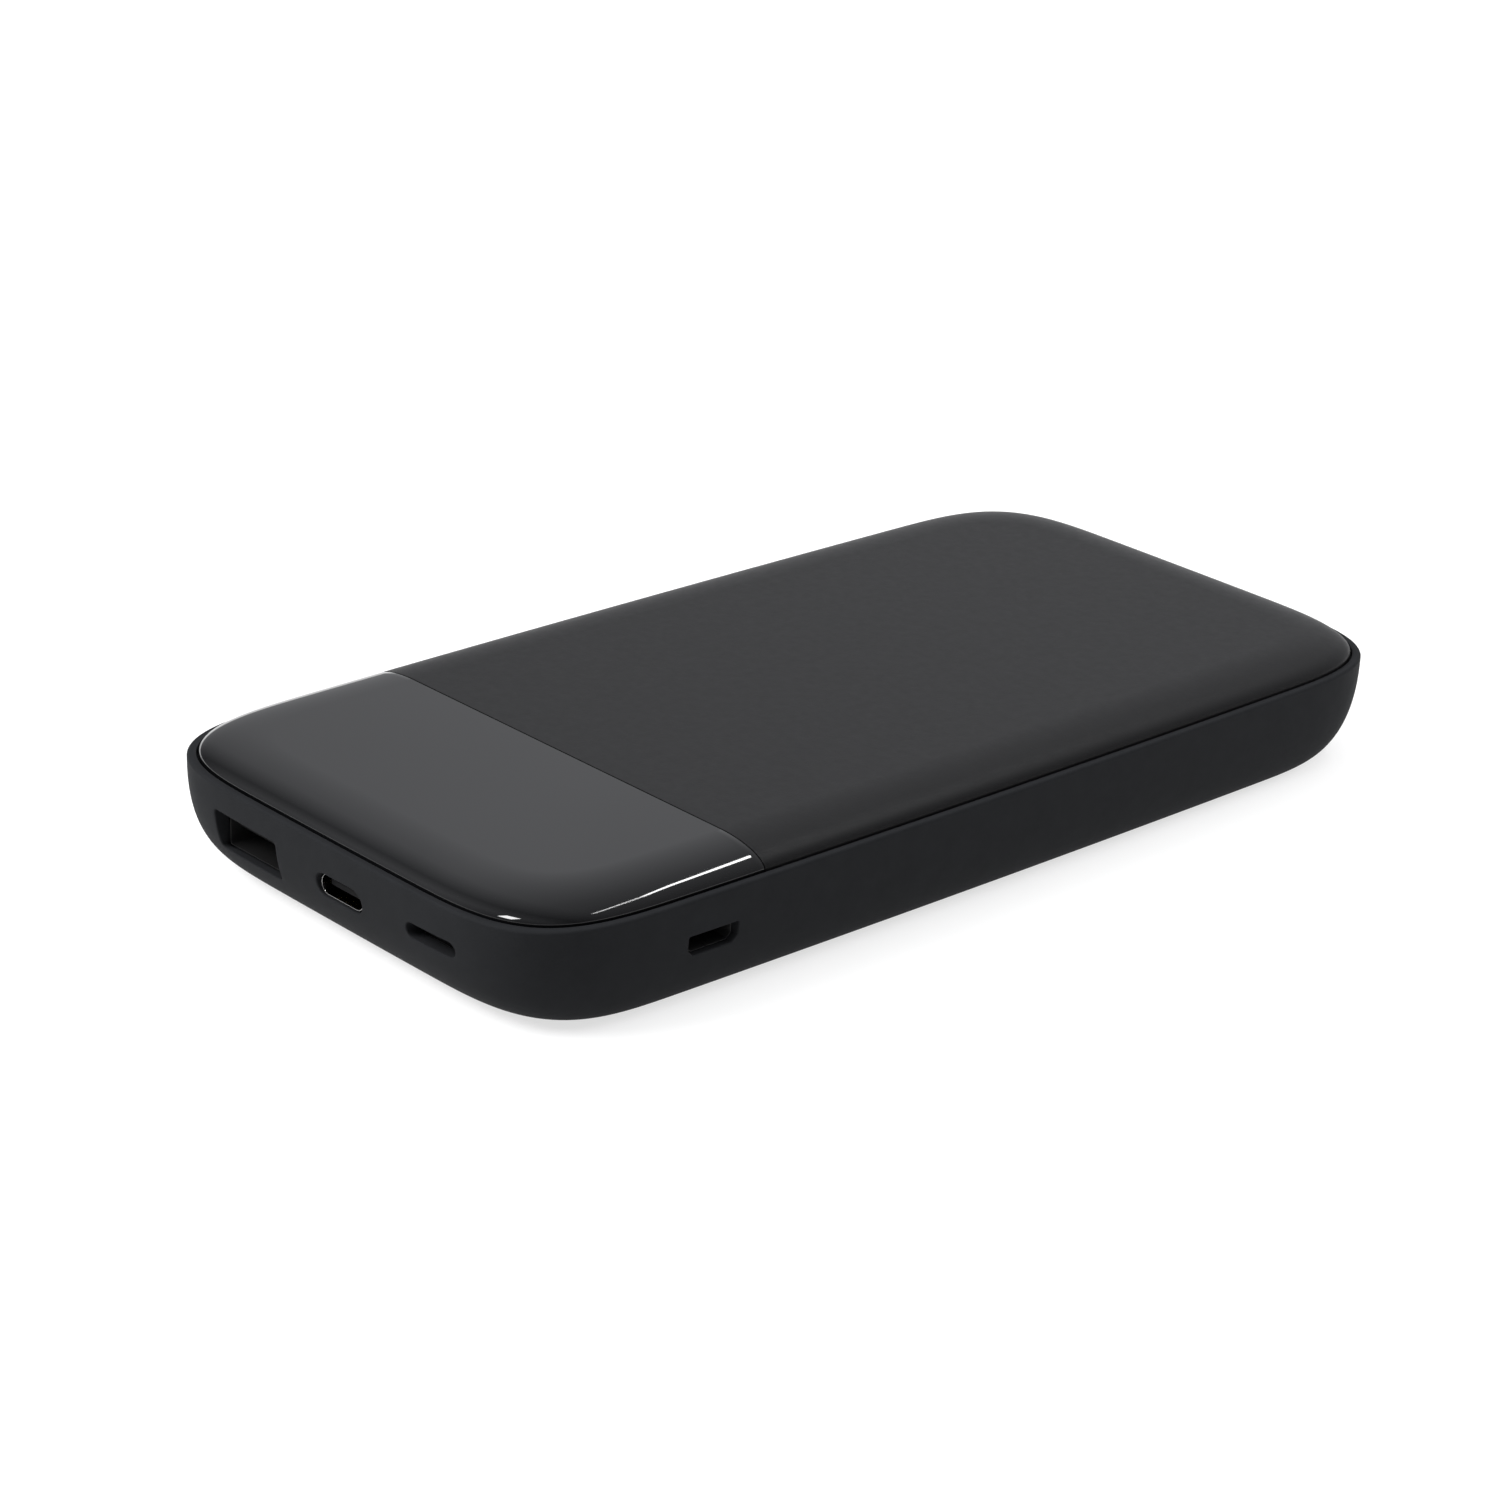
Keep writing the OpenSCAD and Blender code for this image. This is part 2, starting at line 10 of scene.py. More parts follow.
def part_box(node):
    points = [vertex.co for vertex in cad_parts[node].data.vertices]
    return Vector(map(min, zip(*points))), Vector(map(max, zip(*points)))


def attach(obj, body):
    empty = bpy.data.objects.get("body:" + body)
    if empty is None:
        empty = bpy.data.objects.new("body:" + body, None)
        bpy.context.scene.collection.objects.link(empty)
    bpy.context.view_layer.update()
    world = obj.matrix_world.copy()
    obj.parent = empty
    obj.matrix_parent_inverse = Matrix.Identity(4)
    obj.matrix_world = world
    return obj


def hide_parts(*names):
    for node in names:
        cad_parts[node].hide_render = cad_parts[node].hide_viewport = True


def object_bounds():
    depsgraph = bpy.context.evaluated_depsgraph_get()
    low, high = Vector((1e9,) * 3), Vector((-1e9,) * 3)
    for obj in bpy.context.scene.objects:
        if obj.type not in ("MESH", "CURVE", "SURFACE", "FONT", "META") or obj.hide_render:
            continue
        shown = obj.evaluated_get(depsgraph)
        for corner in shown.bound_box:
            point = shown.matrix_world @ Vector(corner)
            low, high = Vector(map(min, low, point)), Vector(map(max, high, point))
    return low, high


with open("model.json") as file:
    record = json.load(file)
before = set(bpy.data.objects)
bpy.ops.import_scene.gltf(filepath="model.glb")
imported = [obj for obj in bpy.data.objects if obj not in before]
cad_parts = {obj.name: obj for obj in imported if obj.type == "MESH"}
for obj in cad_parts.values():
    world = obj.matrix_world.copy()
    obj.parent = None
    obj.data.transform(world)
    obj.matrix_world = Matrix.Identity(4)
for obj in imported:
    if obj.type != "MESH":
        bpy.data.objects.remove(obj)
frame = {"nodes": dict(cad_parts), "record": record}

# A pocket power bank: a soft-touch tub, a soft-touch cover and a glossy panel over the socket end.
# Sizes are in metres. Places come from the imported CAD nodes, and the body's outline, tuck and cover edge
# repeat the design's values on finer rings. What differs from the design is visible detail: a rounder rim,
# rounded lips and cut-outs, a flared and split micro-USB mouth, a rebate half as deep, a cover edge that
# starts a little way up its curve, and a cover foot and snap hooks that end 0.05 mm short.
MM = 0.001
cad_low, cad_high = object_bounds()
half_w = cad_high.x
half_l = cad_high.y
seam_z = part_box("lower_housing")[1].z
top_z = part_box("top_cover")[1].z
cover_inset = half_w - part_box("top_cover")[1].x
panel_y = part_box("gloss_panel")[1].y
edge_h = top_z - seam_z

CORNER_W = 27.5 * MM
CORNER_L = 28 * MM
CORNER_POWER = 3.95
SIDE_BOW = 0.9 * MM
END_BOW = 0.3 * MM
TUCK_W = 6.3 * MM
TUCK_L = 10.4 * MM
TUCK_POWER = 2.5
EDGE_W = 8.4 * MM
EDGE_START = 0.075
FOOT_INSET = 0.05 * MM
REBATE_DROP = 0.05 * MM
WALL = 2 * MM
LEDGE = 1.1 * MM
RIM_R = 0.45 * MM
LIP_R = 0.12 * MM
SEAT_DROP = 0.8 * MM
COVER_T = 1.8 * MM
PANEL_T = 1.5 * MM
PANEL_LIP = 1.5 * MM
PANEL_GAP = 0.15 * MM
TAPE_T = 0.2 * MM
DECK_T = 1.8 * MM
SKIRT_INSET = 2.35 * MM
SKIRT_T = 1.4 * MM
SKIRT_Z = 12 * MM
HOLE_R = 0.2 * MM
HOLE_EDGE_ANGLES = np.radians([20, 40, 60, 75])
HOLE_DEPTH = 4 * MM
HOLE_FLARE = 0.62 * MM
BOUNDARY_R = 0.18 * MM

CORNER_STEPS = 48
LONG_STEPS = 24
SHORT_STEPS = 8
TUCK_STEPS = 40
EDGE_STEPS = 28
SMOOTH_ANGLE = math.radians(38)
WELD = 0.0002 * MM  # points closer than this are merged after a cut or a rounding

seat_z = seam_z - SEAT_DROP
rebate_z = seat_z - REBATE_DROP
ceiling_z = top_z - COVER_T
deck_z = top_z - PANEL_T - TAPE_T


# ---------- Shape of the body ----------

def spow(v, power):
    """Power of a sine or cosine that keeps its sign."""
    return np.sign(v) * np.abs(v) ** power


def tuck(z):
    """Share of the tuck left at a height: 1 at the underside, 0 at the seam."""
    rise = np.clip(1 - z / seam_z, 0, 1)
    return 1 - (1 - rise ** TUCK_POWER) ** (1 / TUCK_POWER)


def outline(ix, iy):
    """The body's outline seen from above, drawn in by ix and iy, as an array of x and y."""
    t = np.linspace(0, 1, CORNER_STEPS + 1)
    corners = []
    for q, (sx, sy) in enumerate(((1, -1), (1, 1), (-1, 1), (-1, -1))):
        a = math.pi / 2 * (q - 1 + t)
        x = sx * (half_w - CORNER_W) + (CORNER_W - ix) * spow(np.cos(a), 2 / CORNER_POWER)
        y = sy * (half_l - CORNER_L) + (CORNER_L - iy) * spow(np.sin(a), 2 / CORNER_POWER)
        corners.append(np.stack([x, y], 1))
    rows = []
    for q in range(4):
        steps = LONG_STEPS if q % 2 == 0 else SHORT_STEPS
        share = np.linspace(0, 1, steps + 1)[1:-1, None]
        start, end = corners[q][-1], corners[(q + 1) % 4][0]
        rows += [corners[q], start + (end - start) * share]
    p = np.concatenate(rows)
    bow_x = 1 - SIDE_BOW / half_w * (p[:, 1] / half_l) ** 2
    bow_y = 1 - END_BOW / half_l * (p[:, 0] / half_w) ** 2
    return np.stack([p[:, 0] * bow_x, p[:, 1] * bow_y], 1)


def ring(z, ix, iy=None):
    """The outline as a ring of points at a height."""
    p = outline(ix, ix if iy is None else iy)
    return np.column_stack([p, np.full(len(p), z)])


def tuck_rings(first, last, extra):
    """Rings up the tucked sides, from step first to step last, drawn in by an extra inset."""
    rings = []
    for k in np.linspace(first, last, abs(last - first) + 1):
        a = math.pi / 2 * k / TUCK_STEPS
        u = 1 - math.sin(a) ** (2 / TUCK_POWER)
        z = seam_z * (1 - math.cos(a) ** (2 / TUCK_POWER))
        rings.append(ring(z, extra + TUCK_W * u, extra + TUCK_L * u))
    return rings


def edge_rings():
    """Rings over the cover's rounded edge, from its undercut foot in the rebate to the top."""
    angles = np.linspace(EDGE_START, math.pi / 2, EDGE_STEPS + 1)
    foot = [ring(seat_z, cover_inset + FOOT_INSET), ring(seam_z, cover_inset + FOOT_INSET)]
    return foot + [ring(seam_z + edge_h * math.sin(a), cover_inset + EDGE_W * (1 - math.cos(a)))
                   for a in angles]


def end_y(x, z):
    """Distance of the socket end's outer face from the middle, at a place across and a height."""
    ix, iy = TUCK_W * tuck(z), TUCK_L * tuck(z)
    x0 = np.abs(x) / (1 - SIDE_BOW / half_w)
    u = np.clip((x0 - (half_w - CORNER_W)) / (CORNER_W - ix), 0, 1)
    y = half_l - CORNER_L + (CORNER_L - iy) * (1 - u ** CORNER_POWER) ** (1 / CORNER_POWER)
    return y * (1 - END_BOW / half_l * (x0 / half_w) ** 2)


def side_x(y, z):
    """Distance of a long side's outer face from the middle, at a place along and a height."""
    return (half_w - TUCK_W * tuck(z)) * (1 - SIDE_BOW / half_w * (y / half_l) ** 2)


# ---------- Mesh tools ----------

def new_object(name, mesh):
    obj = bpy.data.objects.new(name, mesh)
    bpy.context.scene.collection.objects.link(obj)
    return obj


def skin(name, rings, hoop=False):
    """Closed solid through rings of equal length, with a flat cap at each end or as a closed hoop."""
    n = len(rings[0])
    verts = np.concatenate(rings)
    i = np.arange(n)
    j = (i + 1) % n
    faces = [] if hoop else [list(i[::-1]), list(i + (len(rings) - 1) * n)]
    for k in range(len(rings) - (0 if hoop else 1)):
        low, high = k * n, (k + 1) % len(rings) * n
        faces += np.stack([low + i, low + j, high + j, high + i], 1).tolist()
    mesh = bpy.data.meshes.new(name)
    mesh.from_pydata(verts.tolist(), [], faces)
    bm = bmesh.new()
    bm.from_mesh(mesh)
    bmesh.ops.recalc_face_normals(bm, faces=bm.faces)
    bm.to_mesh(mesh)
    bm.free()
    return new_object(name, mesh)


def block(name, x, y, z, w, l, h):
    """Box centred across and along, standing on z."""
    xs, ys = (x - w / 2, x + w / 2), (y - l / 2, y + l / 2)
    square = [(xs[0], ys[0]), (xs[1], ys[0]), (xs[1], ys[1]), (xs[0], ys[1])]
    return skin(name, [np.array([(*p, z) for p in square]), np.array([(*p, z + h) for p in square])])


def pin(name, x, y, z, r, h, steps=48):
    """Upright round pin standing on z."""
    a = np.linspace(0, 2 * math.pi, steps, endpoint=False)
    return skin(name, [np.column_stack([x + r * np.cos(a), y + r * np.sin(a), np.full(steps, level)])
                       for level in (z, z + h)])


def joined(objects):
    """One object out of several that don't touch."""
    bm = bmesh.new()
    for obj in objects:
        bm.from_mesh(obj.data)
        bpy.data.objects.remove(obj)
    mesh = bpy.data.meshes.new("joined")
    bm.to_mesh(mesh)
    bm.free()
    return new_object("joined", mesh)


def boolean(obj, others, operation):
    """Adds the other objects to obj or cuts them away from it, and removes them."""
    tool = joined(others)
    modifier = obj.modifiers.new("shape", "BOOLEAN")
    modifier.object = tool
    modifier.operation = operation
    modifier.solver = "EXACT"
    evaluated = obj.evaluated_get(bpy.context.evaluated_depsgraph_get())
    mesh = bpy.data.meshes.new_from_object(evaluated)
    obj.modifiers.clear()
    bm = bmesh.new()
    bm.from_mesh(mesh)
    bmesh.ops.remove_doubles(bm, verts=bm.verts, dist=WELD)
    bm.to_mesh(mesh)
    bm.free()
    obj.data = mesh
    bpy.data.objects.remove(tool)


def soften(obj, wanted, radius, segments=3):
    """Rounds the edges whose two ends both pass the test wanted(point)."""
    bm = bmesh.new()
    bm.from_mesh(obj.data)
    edges = [e for e in bm.edges if wanted(e.verts[0].co) and wanted(e.verts[1].co)]
    bmesh.ops.bevel(bm, geom=edges, offset=radius, offset_type="OFFSET", segments=segments,
                    profile=0.5, affect="EDGES", clamp_overlap=True)
    bmesh.ops.remove_doubles(bm, verts=bm.verts, dist=WELD)
    bm.to_mesh(obj.data)
    bm.free()


def rounded(core, radius, arc_steps=8, straight_steps=10):
    """Outline at a radius round a convex core of points, counter-clockwise."""
    points = []
    core = [Vector(c) for c in core]
    n = len(core)
    for i in range(n):
        before, here, after = core[i - 1], core[i], core[(i + 1) % n]
        a1 = math.atan2(-(here - before).x, (here - before).y)
        a2 = math.atan2(-(after - here).x, (after - here).y)
        if a2 < a1 - 1e-9:
            a2 += 2 * math.pi
        arc = [here + Vector((math.cos(a), math.sin(a))) * float(radius)
               for a in np.linspace(a1, a2, arc_steps + 1)]
        points += arc
        run = after - here
        points += [arc[-1] + run * k / straight_steps for k in range(1, straight_steps)]
    return np.array([tuple(p) for p in points])


def pill_core(w, h):
    return [(-(w - h) / 2, 0), ((w - h) / 2, 0)], h / 2


def rect_core(w, h, r):
    x, y = w / 2 - r, h / 2 - r
    return [(-x, -y), (x, -y), (x, y), (-x, y)], r


def micro_core(w, h, cut, r):
    """Micro-USB outline with its lower corners cut off, drawn in by the radius of its corners."""
    x, y, k = w / 2 - r, h / 2 - r, cut - 0.59 * r
    return [(-x, k - y), (k - x, -y), (x - k, -y), (x, k - y), (x, y), (-x, y)], r


def on_face(face, u, v, depth):
    """Points at a depth under one of the body's outer faces. u runs along the face and v is the height."""
    if face == "end":
        return np.column_stack([u, -end_y(u, v) + depth, v])
    side = 1 if face == "right" else -1
    return np.column_stack([side * (side_x(u, v) - depth), u, v])


def hole_cutter(face, u, v, core, radius):
    """Cutter for a hole whose outer edge is rounded, following the curve of the face."""
    straight = [(HOLE_DEPTH, 0), (HOLE_R, 0)]
    edge = [(HOLE_R * (1 - math.sin(a)), HOLE_R * (1 - math.cos(a))) for a in HOLE_EDGE_ANGLES]
    outside = [(-0.1 * MM, HOLE_FLARE), (-3 * MM, HOLE_FLARE)]
    rings = []
    for depth, grow in straight + edge + outside:
        p = rounded(core, radius + grow)
        rings.append(on_face(face, u + p[:, 0], v + p[:, 1], depth))
    return skin("hole", rings)


# ---------- Materials ----------

def noise(nodes, links, coordinates, scale, detail=2.0, roughness=0.5):
    node = nodes.new("ShaderNodeTexNoise")
    node.inputs["Scale"].default_value = scale
    node.inputs["Detail"].default_value = detail
    node.inputs["Roughness"].default_value = roughness
    links.new(coordinates, node.inputs["Vector"])
    return node.outputs["Fac"]


def mapped(nodes, links, value, low, high, from_low=0.3, from_high=0.7):
    node = nodes.new("ShaderNodeMapRange")
    node.inputs["From Min"].default_value = from_low
    node.inputs["From Max"].default_value = from_high
    node.inputs["To Min"].default_value = low
    node.inputs["To Max"].default_value = high
    links.new(value, node.inputs["Value"])
    return node.outputs["Result"]


def material(name, colour, rough, grain=(4000, 0.3, 4e-6), mottle=(60, 0.12), rough_swing=0.05,
             metallic=0.0, specular=0.5, stretch=(1, 1, 1)):
    """Principled material with a fine bump grain, a soft mottling of its colour and uneven roughness.

    grain is the noise's scale per metre, its strength and its height. mottle is the scale and share."""
    made = bpy.data.materials.new(name)
    made.use_nodes = True
    nodes, links = made.node_tree.nodes, made.node_tree.links
    shader = nodes["Principled BSDF"]
    shader.inputs["Metallic"].default_value = metallic
    shader.inputs["Specular IOR Level"].default_value = specular
    place = nodes.new("ShaderNodeTexCoord").outputs["Object"]
    mapping = nodes.new("ShaderNodeMapping")
    mapping.inputs["Scale"].default_value = stretch
    links.new(place, mapping.inputs["Vector"])
    place = mapping.outputs["Vector"]

    blend = nodes.new("ShaderNodeMix")
    blend.data_type = "RGBA"
    blend.inputs["A"].default_value = (*[c * (1 - mottle[1]) for c in colour], 1)
    blend.inputs["B"].default_value = (*[c * (1 + mottle[1]) for c in colour], 1)
    patches = noise(nodes, links, place, mottle[0], 4)
    links.new(mapped(nodes, links, patches, 0, 1), blend.inputs["Factor"])
    links.new(blend.outputs["Result"], shader.inputs["Base Color"])

    wear = noise(nodes, links, place, mottle[0] * 2.3, 5, 0.6)
    uneven = mapped(nodes, links, wear, rough - rough_swing, rough + rough_swing)
    links.new(uneven, shader.inputs["Roughness"])

    bump = nodes.new("ShaderNodeBump")
    bump.inputs["Strength"].default_value = grain[1]
    bump.inputs["Distance"].default_value = grain[2]
    links.new(noise(nodes, links, place, grain[0], 3, 0.6), bump.inputs["Height"])
    links.new(bump.outputs["Normal"], shader.inputs["Normal"])
    return made


SOFT_GRAIN = (3600, 0.5, 2.5e-5)
SOFT_MOTTLE = (300, 0.05)
STEEL_GRAIN = (900, 0.2, 4e-6)

MATERIALS = {
    "soft_touch_shell": material("soft_touch_shell", (0.0136, 0.0142, 0.0155), 0.62, grain=SOFT_GRAIN,
                                 mottle=SOFT_MOTTLE, rough_swing=0.02, specular=0.03),
    "soft_touch_cover": material("soft_touch_cover", (0.0056, 0.0056, 0.0060), 0.42, grain=SOFT_GRAIN,
                                 mottle=SOFT_MOTTLE, rough_swing=0.02, specular=0.19),
    "gloss_black": material("gloss_black", (0.003, 0.0031, 0.0035), 0.035, grain=(260, 0.15, 2e-6),
                            mottle=(30, 0.2), rough_swing=0.01),
    "black_tape": material("black_tape", (0.01, 0.01, 0.01), 0.7),
    "black_plastic": material("black_plastic", (0.009, 0.009, 0.0095), 0.55, grain=(5000, 0.3, 6e-6),
                              specular=0.05),
    "white_film": material("white_film", (0.8, 0.8, 0.78), 0.4),
    "foam": material("foam", (0.03, 0.03, 0.03), 0.9, grain=(2500, 0.9, 1e-4)),
    "circuit_board": material("circuit_board", (0.01, 0.09, 0.035), 0.3, mottle=(400, 0.3)),
    "screw_steel": material("screw_steel", (0.45, 0.46, 0.48), 0.3, metallic=1),
    "socket_steel": material("socket_steel", (0.27, 0.267, 0.264), 0.09, metallic=1, grain=STEEL_GRAIN),
    "dark_steel": material("dark_steel", (0.015, 0.015, 0.0155), 0.5, metallic=0.4, grain=STEEL_GRAIN),
    "gold_contact": material("gold_contact", (0.83, 0.62, 0.25), 0.22, metallic=1),
    "pouch_foil": material("pouch_foil", (0.6, 0.62, 0.65), 0.38, metallic=1, grain=(300, 0.5, 6e-5)),
    "white_tape": material("white_tape", (0.85, 0.83, 0.76), 0.8),
    "nickel_strip": material("nickel_strip", (0.66, 0.64, 0.58), 0.3, metallic=1, stretch=(1, 8, 8)),
    "red_wire": material("red_wire", (0.45, 0.02, 0.015), 0.5),
    "black_wire": material("black_wire", (0.012, 0.012, 0.012), 0.5),
    "insulation_card": material("insulation_card", (0.32, 0.24, 0.13), 0.85, grain=(1500, 0.6, 5e-5)),
    "ferrite": material("ferrite", (0.06, 0.062, 0.066), 0.6, grain=(2500, 0.6, 3e-5)),
    "chip_plastic": material("chip_plastic", (0.015, 0.015, 0.016), 0.55, grain=(6000, 0.4, 8e-6)),
    "capacitor_can": material("capacitor_can", (0.6, 0.61, 0.63), 0.28, metallic=1),
}
# The wide socket looks dark in the photo, so its look differs from its slot in the record.
LOOK_OF = {"usb_a_shell": "dark_steel"}
SLOT_OF = {part["node"]: part["material_slot"] for part in frame["record"]["subparts"]}
BODY_OF = {node: body for body, members in frame["record"]["behaviour"]["bodies"].items()
           for node in members}


def dress(obj, node):
    """Smooth shading with weighted normals, the material for the node's slot in the record unless LOOK_OF
    names another, and the node's body. The CAD node itself is hidden.
    """
    obj.data.materials.clear()
    obj.data.materials.append(MATERIALS[LOOK_OF.get(node, SLOT_OF[node])])
    for polygon in obj.data.polygons:
        polygon.material_index = 0
    obj.data.shade_smooth()
    obj.data.set_sharp_from_angle(angle=SMOOTH_ANGLE)
    weighted = obj.modifiers.new("weighted_normals", "WEIGHTED_NORMAL")
    weighted.keep_sharp = True
    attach(obj, BODY_OF[node])
    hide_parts(node)


# ---------- Lower housing ----------

usb_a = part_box("usb_a_tongue")
usb_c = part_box("usb_c_tongue")
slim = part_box("slim_socket_insert")
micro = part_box("micro_usb_tongue")
button_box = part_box("power_button")


def middle(box):
    return (box[0] + box[1]) / 2


def section(face, u, v, points, place):
    """Outline points as a flat ring across the axis of a face, at a place along that axis."""
    if face == "end":
        return np.column_stack([u + points[:, 0], np.full(len(points), place), v + points[:, 1]])
    return np.column_stack([np.full(len(points), place), u + points[:, 0], v + points[:, 1]])


def prism(name, face, u, v, core, radius, start, end):
    points = rounded(core, radius)
    return skin(name, [section(face, u, v, points, place) for place in (start, end)])


def plate(name, inset, y_max, z, t):
    """Plate of the body's outline, from the socket end up to y_max."""
    made = skin(name, [ring(z, inset), ring(z + t, inset)])
    boolean(made, [block("rest", 0, y_max + half_l, z - t, 3 * half_w, 2 * half_l, 3 * t)], "DIFFERENCE")
    return made


BUTTON_L = 12 * MM
BUTTON_H = 3.4 * MM
BUTTON_GAP = 0.15 * MM
POCKET_FIT = 0.2 * MM
POCKET_L = 4 * MM
SCREW_HEAD_R = 1.6 * MM
FRONT_SCREWS_X = (-6.8 * MM, 11.2 * MM)
POST_R = 2.4 * MM
PILOT_R = 0.8 * MM
PILOT_L = 6 * MM
RIB_T = 1.2 * MM
RIB_OFFSET = 0.9 * MM
SNAP_PLACES = [y * MM for y in (-25, 5, 35)]
CATCH_INSET = 1.9 * MM
CATCH_Z = 10.4 * MM
SINK = 0.3 * MM  # how far a piece reaches into the wall that it is joined to

# Cut-outs, pockets and shells: width, height, then the corner cut of the micro-USB and the corner radius.
USB_A_HOLE = (13.3 * MM, 5.5 * MM, 0.6 * MM)
USB_C_HOLE = (9.15 * MM, 3.3 * MM)
SLIM_HOLE = (9 * MM, 2.1 * MM)
MICRO_HOLE = (7.9 * MM, 2.75 * MM, 0.9 * MM, 0.2 * MM)
USB_A_POCKET = (13.5 * MM, 6.12 * MM, 0.6 * MM)
SLIM_POCKET = (10 * MM, 3.8 * MM)
USB_A_SHELL = (13.1 * MM, 5.72 * MM, 0.6 * MM)
USB_C_SHELL = (8.94 * MM, 3.16 * MM)
SLIM_SHELL = (9.6 * MM, 3.4 * MM)
MICRO_SHELL = (7.5 * MM, 2.5 * MM, 0.8 * MM, 0.45 * MM)

board_low, board_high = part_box("main_board")
screws_low, screws_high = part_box("board_screws")
cell_low, cell_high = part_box("lower_cell")
USB_A_AT = (middle(usb_a).x, middle(usb_a).z)
USB_C_AT = (middle(usb_c).x, middle(usb_c).z)
SLIM_AT = (middle(slim).x, middle(slim).z)
MICRO_AT = (middle(micro).y, middle(micro).z)
BUTTON_AT = (middle(button_box).y, middle(button_box).z)

holes = [
    hole_cutter("end", *USB_A_AT, *rect_core(*USB_A_HOLE)),
    hole_cutter("end", *USB_C_AT, *pill_core(*USB_C_HOLE)),
    hole_cutter("end", *SLIM_AT, *pill_core(*SLIM_HOLE)),
    hole_cutter("right", *MICRO_AT, *micro_core(*MICRO_HOLE)),
    hole_cutter("left", *BUTTON_AT, *pill_core(BUTTON_L + 2 * BUTTON_GAP, BUTTON_H + 2 * BUTTON_GAP)),
]
pockets = []
for node, at, core in (("usb_a_shell", USB_A_AT, rect_core(*USB_A_POCKET)),
                       ("slim_socket_shell", SLIM_AT, pill_core(*SLIM_POCKET))):
    pocket_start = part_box(node)[0].y - POCKET_FIT
    pockets.append(prism("pocket", "end", *at, *core, pocket_start, pocket_start + POCKET_L))

screw_places = [(x, screws_low.y + SCREW_HEAD_R) for x in FRONT_SCREWS_X] + [
    (x, screws_high.y - SCREW_HEAD_R) for x in (screws_low.x + SCREW_HEAD_R, screws_high.x - SCREW_HEAD_R)]
posts = [pin("post", x, y, WALL - SINK, POST_R, board_low.z - WALL + SINK) for x, y in screw_places]
pilots = [pin("pilot", x, y, WALL + 0.5 * MM, PILOT_R, PILOT_L) for x, y in screw_places]
ribs = [block("side_rib", side * (cell_high.x + RIB_OFFSET), middle((cell_low, cell_high)).y,
              WALL - SINK, RIB_T, 76 * MM, 5 * MM) for side in (-1, 1)]
ribs.append(block("rear_rib", 0, cell_high.y + RIB_OFFSET, WALL - SINK, 40 * MM, RIB_T, 4 * MM))
catches = [block("catch", side * (half_w - CATCH_INSET), y, CATCH_Z, 1.9 * MM, 10 * MM, 0.8 * MM)
           for side in (-1, 1) for y in SNAP_PLACES]

INNER_STEP = 14  # last ring of the inner wall, which dips 0.2 mm under the flat inner floor
quarter = np.linspace(0, math.pi / 2, 7)
rim = [ring(seam_z - RIM_R * (1 - math.sin(a)), RIM_R * (1 - math.cos(a))) for a in quarter]
lip = [ring(seam_z - LIP_R * (1 - math.cos(a)), LEDGE - LIP_R * (1 - math.sin(a))) for a in quarter]
housing = skin("tub", tuck_rings(0, TUCK_STEPS - 2, 0) + rim + lip
               + [ring(rebate_z, LEDGE), ring(rebate_z, WALL)]
               + tuck_rings(TUCK_STEPS - 3, INNER_STEP, WALL)
               + [ring(WALL, WALL + TUCK_W * tuck(WALL), WALL + TUCK_L * tuck(WALL))])
boolean(housing, posts + ribs + catches, "UNION")
boolean(housing, holes + pilots, "DIFFERENCE")
boolean(housing, pockets, "DIFFERENCE")
dress(housing, "lower_housing")

# ---------- Sockets ----------

SHEET_T = 0.3 * MM
LIP_T = 0.12 * MM
LIP_L = 0.5 * MM
LIP_STEPS = 8


def socket_shell(node, face, at, core, radius, flare=0.0, flare_l=0.0):
    """Stamped socket shell: a tube closed at the rear, thinned to a fine rolled lip that may flare."""
    low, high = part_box(node)
    front, rear, inward = (low.y, high.y, 1) if face == "end" else (high.x, low.x, -1)
    depth = abs(rear - front)
    roll = LIP_T / 2
    profile = [(depth - SHEET_T, -SHEET_T)]
    profile += [(flare_l * k, flare * (1 - k) ** 2 - SHEET_T) for k in np.linspace(1, 0.2, 8) if flare]
    profile += [(roll * (1 - math.sin(a)), flare - SHEET_T + roll * (1 - math.cos(a)))
                for a in np.linspace(0, math.pi, LIP_STEPS + 1)]
    profile += [(LIP_L, 0), (depth, 0)]
    return skin(node + "_formed", [section(face, *at, rounded(core, radius + grow), front + inward * d)
                                   for d, grow in profile])


def legs(at_x, offset, front_y, depths, w, l, top):
    """Pairs of sheet-metal legs that stand on the board beside a socket shell."""
    return [block("leg", at_x + side * offset, front_y + d, board_high.z, w, l, top - board_high.z)
            for side in (-1, 1) for d in depths]


usb_a_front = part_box("usb_a_shell")[0].y
usb_c_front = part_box("usb_c_shell")[0].y
slim_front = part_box("slim_socket_shell")[0].y
micro_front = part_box("micro_usb_shell")[1].x
usb_a_shell = socket_shell("usb_a_shell", "end", USB_A_AT, *rect_core(*USB_A_SHELL))
boolean(usb_a_shell, legs(USB_A_AT[0], 7.15 * MM, usb_a_front, (6 * MM, 11.5 * MM), 1.4 * MM, 2 * MM,
                          board_high.z + SHEET_T), "UNION")
usb_c_shell = socket_shell("usb_c_shell", "end", USB_C_AT, *pill_core(*USB_C_SHELL))
boolean(usb_c_shell, legs(USB_C_AT[0], 4.3 * MM, usb_c_front, (5.2 * MM, 6.8 * MM), SHEET_T, 1 * MM,
                          USB_C_AT[1] - SHEET_T), "UNION")
slim_shell = socket_shell("slim_socket_shell", "end", SLIM_AT, *pill_core(*SLIM_SHELL))
boolean(slim_shell, legs(SLIM_AT[0], 4.6 * MM, slim_front, (4 * MM, 8 * MM), SHEET_T, 1 * MM,
                         SLIM_AT[1] - SHEET_T), "UNION")
